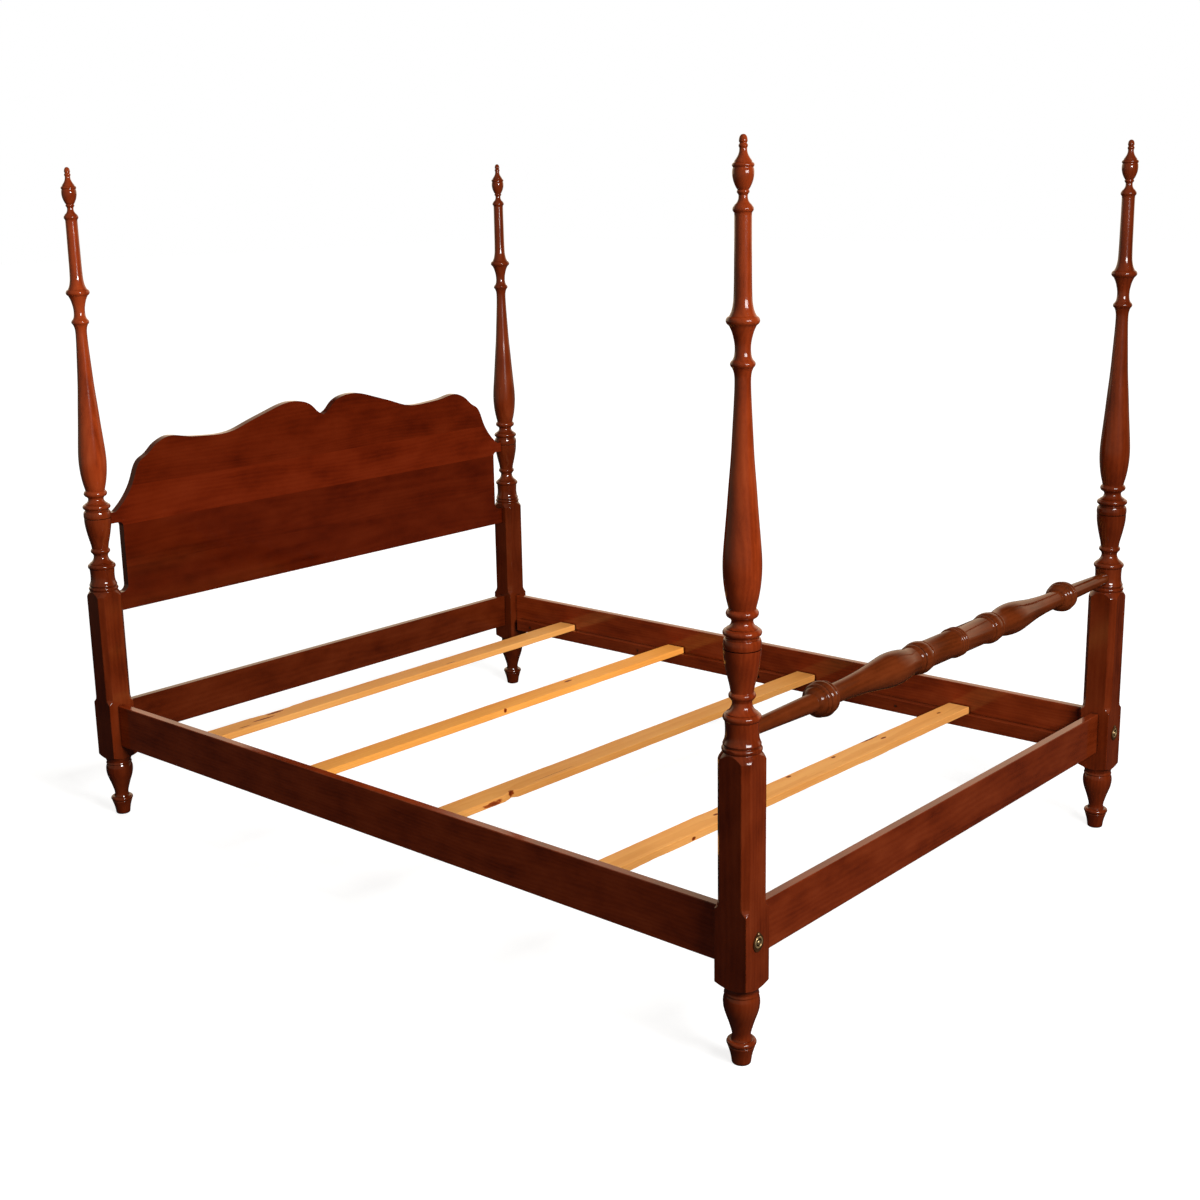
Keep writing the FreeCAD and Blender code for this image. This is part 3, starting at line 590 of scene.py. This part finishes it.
# %% Trace the headboard
crest = [(0, 1043.5), (20, 1053.9), (40, 1072.6), (68.2, 1087.9), (97.8, 1093.9), (126, 1094.8),
         (160.1, 1089.5), (200, 1078), (240.1, 1066), (275.7, 1055), (312.7, 1042.4), (340.1, 1034.8),
         (380.1, 1030.4), (420.1, 1031.3), (455, 1033.7), (498.7, 1038.1), (535.7, 1045.2),
         (560.2, 1046.3), (588, 1037.5), (606, 1027.5), (620, 1015.5), (636, 1003), (654.5, 993),
         (670, 973.5), (678.5, 953), (689.5, 928), (706, 902.5), (726, 879.5), (748.5, 860)]
ear_x, ear_top, board_bottom = 785.5, 860, 583
notch_x, notch_top, notch_bottom = 728.5, 829.5, 634
board_thickness = 0.022


def notch_corner(x, z, radius):
    """Start, middle and end of the curve in a corner of the notch."""
    bend = abs(radius) * (1 - math.sqrt(0.5))
    return (x, z + radius), (x + bend, z + math.copysign(bend, radius)), (x + abs(radius), z)


upper_corner = notch_corner(notch_x, notch_top, -12)
lower_corner = notch_corner(notch_x, notch_bottom, 18)
right_half = [crest[0]] + sweeping_curve(crest, 7.0) + [(ear_x, ear_top), (ear_x, notch_top)]
right_half += [upper_corner[2]] + bead(*reversed(upper_corner))
right_half += [lower_corner[0]] + bead(*lower_corner) + [(ear_x, notch_bottom), (ear_x, board_bottom)]
rim = right_half + [(-x, z) for x, z in reversed(right_half[1:])]
front = half_along - board_thickness / 2
plate = draw_line("plate", [(x * MM, front, z * MM) for x, z in rim])
fill_and_thicken(board_thickness)
bpy.ops.mesh.select_all(action="DESELECT")
mesh = bmesh.from_edit_mesh(plate.data)
for edge in mesh.edges:
    edge.select = abs(edge.verts[0].co.y - edge.verts[1].co.y) < 1e-6
mesh.select_flush_mode()
bmesh.update_edit_mesh(plate.data)
rounding = 1.6
bpy.ops.mesh.bevel(offset=rounding * MM, segments=3, affect="EDGES")
bpy.ops.object.mode_set(mode="OBJECT")
print("plate faces", len(plate.data.polygons))

# %% Saw it into its four boards
joints = [570, 701, 820, 925, 1110]
# Each board and the tone of its stain.
boards = {"bottom": 0.48, "lower": 0.50, "upper": 0.72, "crest": 0.62}
for number, (board, tone) in enumerate(boards.items()):
    piece = copy_of(plate, f"headboard_{board}_dressed")
    bpy.ops.object.mode_set(mode="EDIT")
    for height, keep_above in ((joints[number], True), (joints[number + 1], False)):
        bpy.ops.mesh.select_all(action="SELECT")
        bpy.ops.mesh.bisect(plane_co=(0, 0, height * MM), plane_no=(0, 0, 1), use_fill=True,
                            clear_inner=keep_above, clear_outer=not keep_above)
    bpy.ops.object.mode_set(mode="OBJECT")
    soft_shading(piece)
    wood = cherry(f"cherry_board_{board}", (0, front, joints[number] * MM), "x",
                  (0.06 + 0.05 * number, 0.10, 0.7 * number), tone, contrast=0.85, tint=(1, 0.72, 0.60))
    dress(piece, wood)
    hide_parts(f"headboard_{board}_board")
    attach(piece, "frame")
bpy.data.objects.remove(plate)
print("boards, from the bottom up:", ", ".join(boards))

# %% [markdown]
# ## Rails and cleats
# Four plain planed boards tie the posts together, and a cleat screwed low on each side rail
# carries the slats. They could be modelled again from cubes with a bevel, but those of the frame
# already have their eased edges, so they only get their wood, with the grain along each piece and
# a tone of its own, set for how bright each looks; the high tone of the left side rail paints in
# light on a face that the lamps leave dim.

# %% Finish the rails and cleats
# The way of the grain and the middle of the pattern.
end_height, side_height, cleat_height = 0.27, 0.26, 0.22
rails = {"foot_rail": ("x", (0, -half_along, end_height)), "head_rail": ("x", (0, half_along, end_height)),
         "left_side_rail": ("y", (-half_across, 0, side_height)),
         "right_side_rail": ("y", (half_across, 0, side_height)),
         "left_cleat": ("y", (-half_across, 0.3, cleat_height)),
         "right_cleat": ("y", (half_across, 0.3, cleat_height))}
# Tone of each piece; the high tone of the left side rail is painted light on its dim face.
rail_tones = {"foot_rail": 1.0, "head_rail": 0.52, "left_side_rail": 1.5, "right_side_rail": 1.28,
              "left_cleat": 0.9, "right_cleat": 1.0}
for number, (node, (grain, middle)) in enumerate(rails.items()):
    heart = (0.05 - 0.02 * number, 0.09, 0.6 * number)
    wood = cherry(f"cherry_{node}", middle, grain, heart, rail_tones[node])
    dress(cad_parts[node], wood)
print("finished", ", ".join(rails))

# %% [markdown]
# ## Slats
# Four loose pine slats lie across the cleats, a little askew. They come rough from the saw, so one
# long cube gets eased edges and many loops, and each copy of it is warped, dented at its own knots
# and turned to the angle at which it was left.

# %% Pine
PINE_LIGHT = (0.92, 0.48, 0.165)
PINE_MID = (0.84, 0.385, 0.110)
PINE_DARK = (0.70, 0.27, 0.06)
KNOT_HEART = (0.16, 0.045, 0.012)
KNOT_RIM = (0.42, 0.16, 0.05)


def ellipsoid(material, place, knot):
    """Distance from a knot's middle, 1 on its edge."""
    middle, size = knot
    inside = add_node(material, "ShaderNodeMapping", {"Vector": place, "Location": middle, "Scale": size},
                      vector_type="TEXTURE")
    return vector_maths(material, "LENGTH", inside.outputs[0])


def pine(name, middle, turned, heart, knots, tint):
    """Planed pine, orange with age, with its knots. Places are in metres from the slat's middle."""
    material, shader = new_material(name)
    place = add_node(material, "ShaderNodeMapping", {"Vector": object_place(material), "Location": middle,
                                                     "Rotation": (0, 0, math.radians(turned))},
                     vector_type="TEXTURE").outputs[0]
    rough = noise(material, stretched(material, place, (60, 300, 300)), 1.0, 2.0)
    marks = [ellipsoid(material, place, knot) for knot in knots]
    pull = weighted_sum(material, *[(add_node(material, "ShaderNodeMapRange", {
        "Value": mark, "From Min": 1.0, "From Max": 5.0, "To Min": 0.008, "To Max": 0.0},
        interpolation_type="SMOOTHSTEP").outputs[0], 1.0) for mark in marks])
    bulge = add_node(material, "ShaderNodeCombineXYZ", {"Y": pull})
    shifted = vector_maths(material, "ADD", vector_maths(material, "ADD", place, heart), bulge.outputs[0])
    rings = add_node(material, "ShaderNodeTexWave", {"Vector": stretched(material, shifted, (0.04, 1, 1)),
                                                     "Scale": 42.0, "Distortion": 2.5, "Detail": 2.0,
                                                     "Detail Scale": 0.8},
                     wave_type="RINGS", rings_direction="X", wave_profile="SAW").outputs["Fac"]
    slow = noise(material, stretched(material, shifted, (2.2, 16, 16)), 1.0, 3.0, 0.6)
    figure = weighted_sum(material, (rings, 0.15), (slow, 0.72), (rough, 0.13))
    wood = [[a * b for a, b in zip(colour, tint)] for colour in (PINE_LIGHT, PINE_MID, PINE_DARK)]
    colour = ramp(material, figure, [(0.25, wood[0]), (0.52, wood[1]), (0.85, wood[2])])
    for mark in marks:
        edge = maths(material, "MULTIPLY_ADD", rough, 0.5, mark)
        dark = ramp(material, edge, [(0.55, KNOT_HEART), (0.90, KNOT_RIM), (1.35, (1, 1, 1))])
        colour = mix(material, 1.0, colour, dark, "MULTIPLY")
    material.node_tree.links.new(colour, shader.inputs["Base Color"])
    shader.inputs["Roughness"].default_value = 0.5
    shader.inputs["Specular IOR Level"].default_value = 0.25
    bump = add_node(material, "ShaderNodeBump", {"Height": figure, "Strength": 0.25, "Distance": 0.0006})
    material.node_tree.links.new(bump.outputs[0], shader.inputs["Normal"])
    return material


# %% Saw one slat, with eased edges and enough loops to shape
slat_size = (1.57, 0.063, 0.019)
slat_height = 0.2535
put_down()
bpy.ops.mesh.primitive_cube_add(size=1, scale=slat_size)
slat = bpy.context.object
slat.name = "slat"
settle(slat)
rounded = slat.modifiers.new("rounded", "BEVEL")
rounded.width = sanded_edge * MM
rounded.segments = 3
finish_modifiers(slat)
bpy.ops.object.mode_set(mode="EDIT")
bpy.ops.mesh.select_all(action="DESELECT")
mesh = bmesh.from_edit_mesh(slat.data)
for edge in mesh.edges:
    edge.select = abs(edge.verts[0].co.x - edge.verts[1].co.x) > 1.0
bmesh.update_edit_mesh(slat.data)
bpy.ops.mesh.subdivide(number_cuts=150)
bpy.ops.object.mode_set(mode="OBJECT")
print("slat faces", len(slat.data.polygons))

# %% Give each slat its own worn edges, knots and place
unevenness = bpy.data.textures.new("unevenness", "CLOUDS")
unevenness.noise_scale = 0.09


def push(piece, middle, reach, shift):
    """Move the vertices near a place, most in its middle. Everything is in millimetres."""
    take_up(piece)
    bpy.ops.object.mode_set(mode="EDIT")
    mesh = bmesh.from_edit_mesh(piece.data)
    middle, reach = Vector(middle) * MM, Vector(reach) * MM
    # A gentle move over the whole reach, then the rest of it near the middle.
    for share, step in ((1.0, 0.4), (0.6, 0.6)):
        for vertex in mesh.verts:
            away = vertex.co - middle
            vertex.select = sum((a / (share * r))**2 for a, r in zip(away, reach)) < 1
        mesh.select_flush_mode()
        bmesh.update_edit_mesh(piece.data)
        bpy.ops.transform.translate(value=Vector(shift) * MM * step)
    bpy.ops.object.mode_set(mode="OBJECT")


# Place along the bed as a share of half its length, and skew in degrees.
slat_places = {"slat_1": (0.732, 0.5), "slat_2": (0.313, -0.4), "slat_3": (-0.137, -1.2), "slat_4": (-0.607, -1.4)}
# Middle, reach and shift of each dent, in millimetres.
slat_dents = {
    "slat_1": [((-440, 31, 9), (95, 9, 9), (0, -3, -1)), ((165, 31, 9), (40, 7, 12), (0, 1.2, 0))],
    "slat_2": [((-26, -31, 4), (16, 6, 9), (0, 1.5, 0)), ((530, 31, 9), (60, 6, 12), (0, 1.4, 0))],
    "slat_3": [((-492, -31, 0), (20, 16, 22), (0, 9, 0)), ((-600, -31, 9), (100, 9, 12), (0, 5, -3)),
               ((-545, -31, 9), (50, 9, 12), (0, 3, -2))],
    "slat_4": [((-300, 31, 9), (45, 8, 12), (0, -2, 0)), ((330, -31, -2), (95, 6, 20), (0, -1.5, -0.5)),
               ((-560, -31, -6), (60, 7, 8), (0, 2, 0)), ((-430, -31, -3), (18, 6, 8), (0, 1.5, 0))],
}
# Middle and half sizes of each knot, in metres.
slat_knots = {
    "slat_1": [((-0.512, -0.004, 0.009), (0.055, 0.006, 0.012)), ((-0.455, 0.018, 0.009), (0.045, 0.008, 0.010)),
               ((-0.590, -0.018, 0.009), (0.030, 0.003, 0.010)), ((0.205, -0.022, 0.009), (0.030, 0.0025, 0.01))],
    "slat_2": [((-0.026, -0.030, 0.004), (0.009, 0.008, 0.010)), ((0.285, 0.012, 0.009), (0.024, 0.008, 0.015))],
    "slat_3": [((-0.492, -0.027, 0.004), (0.013, 0.014, 0.014)), ((-0.560, -0.031, 0.0), (0.050, 0.006, 0.012)),
               ((-0.330, -0.020, 0.009), (0.110, 0.0011, 0.004))],
    "slat_4": [((0.010, 0.023, 0.009), (0.014, 0.007, 0.010)), ((0.200, 0.020, 0.009), (0.013, 0.006, 0.010)),
               ((0.410, 0.006, 0.009), (0.018, 0.006, 0.010)), ((0.380, 0.029, 0.009), (0.060, 0.007, 0.010)),
               ((0.685, 0.005, 0.009), (0.013, 0.005, 0.010)), ((-0.305, 0.003, 0.009), (0.013, 0.006, 0.010)),
               ((-0.428, -0.032, -0.003), (0.010, 0.006, 0.006)), ((-0.570, -0.034, -0.006), (0.040, 0.006, 0.003))],
}
slat_tints = {"slat_1": (0.86, 0.80, 0.66), "slat_2": (1.04, 0.90, 0.55), "slat_3": (0.82, 0.74, 0.58),
              "slat_4": (1.03, 0.98, 0.86)}
for number, (node, (share, skew)) in enumerate(slat_places.items()):
    piece = copy_of(slat, f"{node}_sawn")
    rough = piece.modifiers.new("rough", "DISPLACE")
    rough.texture = unevenness
    rough.texture_coords = "LOCAL"
    rough.strength = 1.2 * MM
    finish_modifiers(piece)
    for dent in slat_dents[node]:
        push(piece, *dent)
    middle = (0, share * half_along, slat_height)
    piece.rotation_euler.z = math.radians(skew)
    piece.location = middle
    settle(piece)
    soft_shading(piece, 50)
    heart = (0.3 * number, 0.07 - 0.02 * number, 0.05 + 0.02 * number)
    dress(piece, pine(f"pine_{node}", middle, skew, heart, slat_knots[node], slat_tints[node]))
    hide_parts(node)
    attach(piece, f"{node}_body")
    print(node, "has", len(slat_knots[node]), "knots and", len(piece.data.polygons), "faces")
bpy.data.objects.remove(slat)

# %% [markdown]
# ## Brass covers and steel
# A teardrop of stamped brass hangs over each bed bolt. Its high parts are painted bright, partly
# polished by hands and partly as painted highlight, while the plate between them goes brown, so the
# colour follows the distance from the bolt's axis. The hardware that nobody sees is plain zinc-grey steel.

# %% Metals
def metal(name, colour, roughness, patina, metallic=1.0):
    """Metal with clouds of patina."""
    material, shader = new_material(name)
    clouds = noise(material, object_place(material), 160.0, 4.0, 0.6)
    shade = ramp(material, clouds, [(0.35, patina), (0.62, colour)])
    material.node_tree.links.new(shade, shader.inputs["Base Color"])
    shader.inputs["Metallic"].default_value = metallic
    shader.inputs["Roughness"].default_value = roughness
    return material


bolt_height = 0.2685
brass = metal("aged_brass", (0.50, 0.36, 0.20), 0.26, (0.26, 0.17, 0.085), 0.75)


def worn_and_highlit_cover(name, side):
    """Brass painted bright on the ring, the boss and the tab, partly polished by hands and partly as painted
    highlight, darker just inside the ring, and brown on the plate.
    """
    material = metal(name, (0.55, 0.40, 0.22), 0.26, (0.30, 0.20, 0.10), 0.7)
    shader = material.node_tree.nodes["Principled BSDF"]
    bright = shader.inputs["Base Color"].links[0].from_socket
    flat = vector_maths(material, "MULTIPLY", object_place(material), (1, 0, 1))
    away = vector_maths(material, "DISTANCE", flat, (side * half_across, 0, bolt_height))
    reach = spread(material, away, 0.0, 0.025)
    # Painted highlight besides polishing: the boss and the ring are made brighter than the brass, the band just inside
    # the ring darker, and the outer rim lighter.
    dark_inside_ring, polish_and_highlight, plate_brown = (0.12, 0.08, 0.06), (1.2, 1.15, 1), (0.32, 0.17, 0.11)
    rubbed_and_highlit = ramp(material, reach, [(0.17, (1.2, 1.2, 1.1)), (0.20, dark_inside_ring), (0.31, dark_inside_ring), (0.36, polish_and_highlight),
                                    (0.47, polish_and_highlight), (0.52, plate_brown), (0.74, plate_brown),
                                    (0.84, (0.75, 0.60, 0.45))])
    shade = mix(material, 1.0, bright, rubbed_and_highlit, "MULTIPLY")
    material.node_tree.links.new(shade, shader.inputs["Base Color"])
    return material


steel = metal("zinc_steel", (0.50, 0.50, 0.50), 0.38, (0.30, 0.30, 0.30))
browned = metal("browned_steel", (0.10, 0.045, 0.03), 0.5, (0.05, 0.02, 0.012))
for node in ("bed_bolts", "bolt_washers", "barrel_nuts", "finial_pins"):
    dress(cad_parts[node], steel)
for node in ("left_cleat_screws", "right_cleat_screws"):
    dress(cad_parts[node], browned)
dress(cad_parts["cover_pins"], brass)
for corner, (side, end) in corners.items():
    dress(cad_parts[f"{corner}_bolt_cover"], worn_and_highlit_cover(f"brass_{corner}", side))
print("brass covers", len(corners), "at a height of", bolt_height, "m")

# %% [markdown]
# ## Floor, light and camera
# The bed stands in a white studio, so the floor and the world are white to the camera, and the
# floor still takes the bed's shadow. Polished wood shows what stands around it: the far floor and
# the wall behind the bed give its edges their pale sheen, and a wide lamp in front gives the
# glints on the turnings. Two more lamps light the wood and stay out of its reflections.

# %% Floor
put_down()
bpy.ops.mesh.primitive_plane_add(size=80)
floor = bpy.context.object
floor.name = "floor"


def behind_the_bed(material, direction, start, full):
    """0 in front of the bed and 1 behind it, as the camera sees it."""
    away_from_camera = (0.74, 0.67, 0)
    return spread(material, vector_maths(material, "DOT_PRODUCT", direction, away_from_camera), start, full)


def white_for(material, behind, mirror):
    """1 for what the camera sees, and a share of it for reflections of what lies behind the bed."""
    seen = add_node(material, "ShaderNodeLightPath").outputs
    mirrored = maths(material, "MAXIMUM", seen["Is Glossy Ray"], seen["Is Transmission Ray"])
    mirrored = maths(material, "MULTIPLY", maths(material, "MULTIPLY", mirrored, behind), mirror)
    return maths(material, "MAXIMUM", seen["Is Camera Ray"], mirrored)


SHEEN = (1.0, 0.74, 0.50, 1)
pale, paint = new_material("pale_floor")
seen = add_node(pale, "ShaderNodeLightPath").outputs
shade = spread(pale, seen["Is Camera Ray"], 0.0, 1.0, 0.10, 0.40)
unlit = spread(pale, seen["Is Glossy Ray"], 0.0, 1.0, 1.0, 0.25)
pale.node_tree.links.new(maths(pale, "MULTIPLY", shade, unlit), paint.inputs["Base Color"])
paint.inputs["Roughness"].default_value = 0.9
paint.inputs["Specular IOR Level"].default_value = 0.0
spot = object_place(pale)
far = vector_maths(pale, "LENGTH", spot)
left = spread(pale, along_axis(pale, spot, "X"), 1.0, -3.0)
haze = maths(pale, "MULTIPLY", spread(pale, far, 3.0, 8.0, 0.0, 1.4), left)
haze = maths(pale, "MAXIMUM", haze, behind_the_bed(pale, spot, 1.5, 4.0))
white = white_for(pale, haze, 0.2)
strength = maths(pale, "MULTIPLY", white, spread(pale, far, 1.5, 7.0, 0.80, 1.0))
warm = mix(pale, seen["Is Glossy Ray"], (1, 1, 1, 1), SHEEN)
glow = add_node(pale, "ShaderNodeEmission", {"Strength": strength, "Color": warm})
both = add_node(pale, "ShaderNodeAddShader", {0: paint.outputs[0], 1: glow.outputs[0]})
pale.node_tree.links.new(both.outputs[0], pale.node_tree.nodes["Material Output"].inputs["Surface"])
floor.data.materials.append(pale)
print("floor", round(floor.dimensions.x), "m wide")

# %% World and lamps
world = bpy.data.worlds.new("studio")
bpy.context.scene.world = world
world.use_nodes = True
sky = world.node_tree.nodes["Background"]
direction = add_node(world, "ShaderNodeTexCoord").outputs["Generated"]
seen = add_node(world, "ShaderNodeLightPath").outputs
top = spread(world, along_axis(world, direction, "Z"), 0.36, 0.62, 1.0, 0.0)
wall = maths(world, "MULTIPLY", behind_the_bed(world, direction, 0.2, 0.6), top)
room = spread(world, along_axis(world, direction, "X"), 0.2, -0.4, 0.0, 0.22)
white = white_for(world, maths(world, "MAXIMUM", wall, room), 1.25)
around = maths(world, "MULTIPLY", seen["Is Diffuse Ray"], 0.11)
world.node_tree.links.new(maths(world, "ADD", white, around), sky.inputs["Strength"])
tint = mix(world, seen["Is Glossy Ray"], (1.0, 0.86, 0.62, 1), SHEEN)
tint = mix(world, seen["Is Camera Ray"], tint, (1, 1, 1, 1))
world.node_tree.links.new(tint, sky.inputs["Color"])


def softbox(name, place, aim, width, height, power, mirrored=True):
    """An oblong lamp whose light keeps its strength over the length of the bed."""
    lamp = bpy.data.lights.new(name, "AREA")
    lamp.shape = "RECTANGLE"
    lamp.size, lamp.size_y = width, height
    lamp.energy = power
    lamp.use_nodes = True
    even = add_node(lamp, "ShaderNodeLightFalloff", {"Strength": 1.0}).outputs["Constant"]
    lamp.node_tree.links.new(even, lamp.node_tree.nodes["Emission"].inputs["Strength"])
    holder = bpy.data.objects.new(name, lamp)
    bpy.context.scene.collection.objects.link(holder)
    holder.location = place
    holder.rotation_euler = (Vector(aim) - Vector(place)).to_track_quat("-Z", "Y").to_euler()
    holder.visible_glossy = mirrored
    return holder


softbox("key", (-0.6, -4.4, 4.0), (0, 0, 0.6), 1.4, 1.4, 5.7, mirrored=False)
softbox("sparkle", (-1.3, -3.5, 1.98), (-0.4, -0.6, 0.6), 1.5, 0.62, 7.4)
softbox("back", (3.6, 4.4, 3.2), (0, 0, 0.6), 3.0, 3.0, 4.0, mirrored=False)
print("lamps", ", ".join(lamp.name for lamp in bpy.data.lights))

# %% Camera
heading, dip, tilt = -47.594, 13.129, -1.355
lens = bpy.data.cameras.new("camera")
lens.lens = 49.516
lens.sensor_width = 36
lens.shift_x = 0.0328
lens.shift_y = -0.0206
camera = bpy.data.objects.new("camera", lens)
bpy.context.scene.collection.objects.link(camera)
aim = (Matrix.Rotation(math.radians(heading), 4, "Z") @ Matrix.Rotation(math.radians(90 - dip), 4, "X")
       @ Matrix.Rotation(math.radians(tilt), 4, "Z"))
camera.rotation_euler = aim.to_euler()
camera.location = (-3.2150, -2.8296, 1.6898)
bpy.context.scene.camera = camera
bpy.context.scene.view_settings.view_transform = "Standard"
print("camera at", tuple(round(c, 3) for c in camera.location))
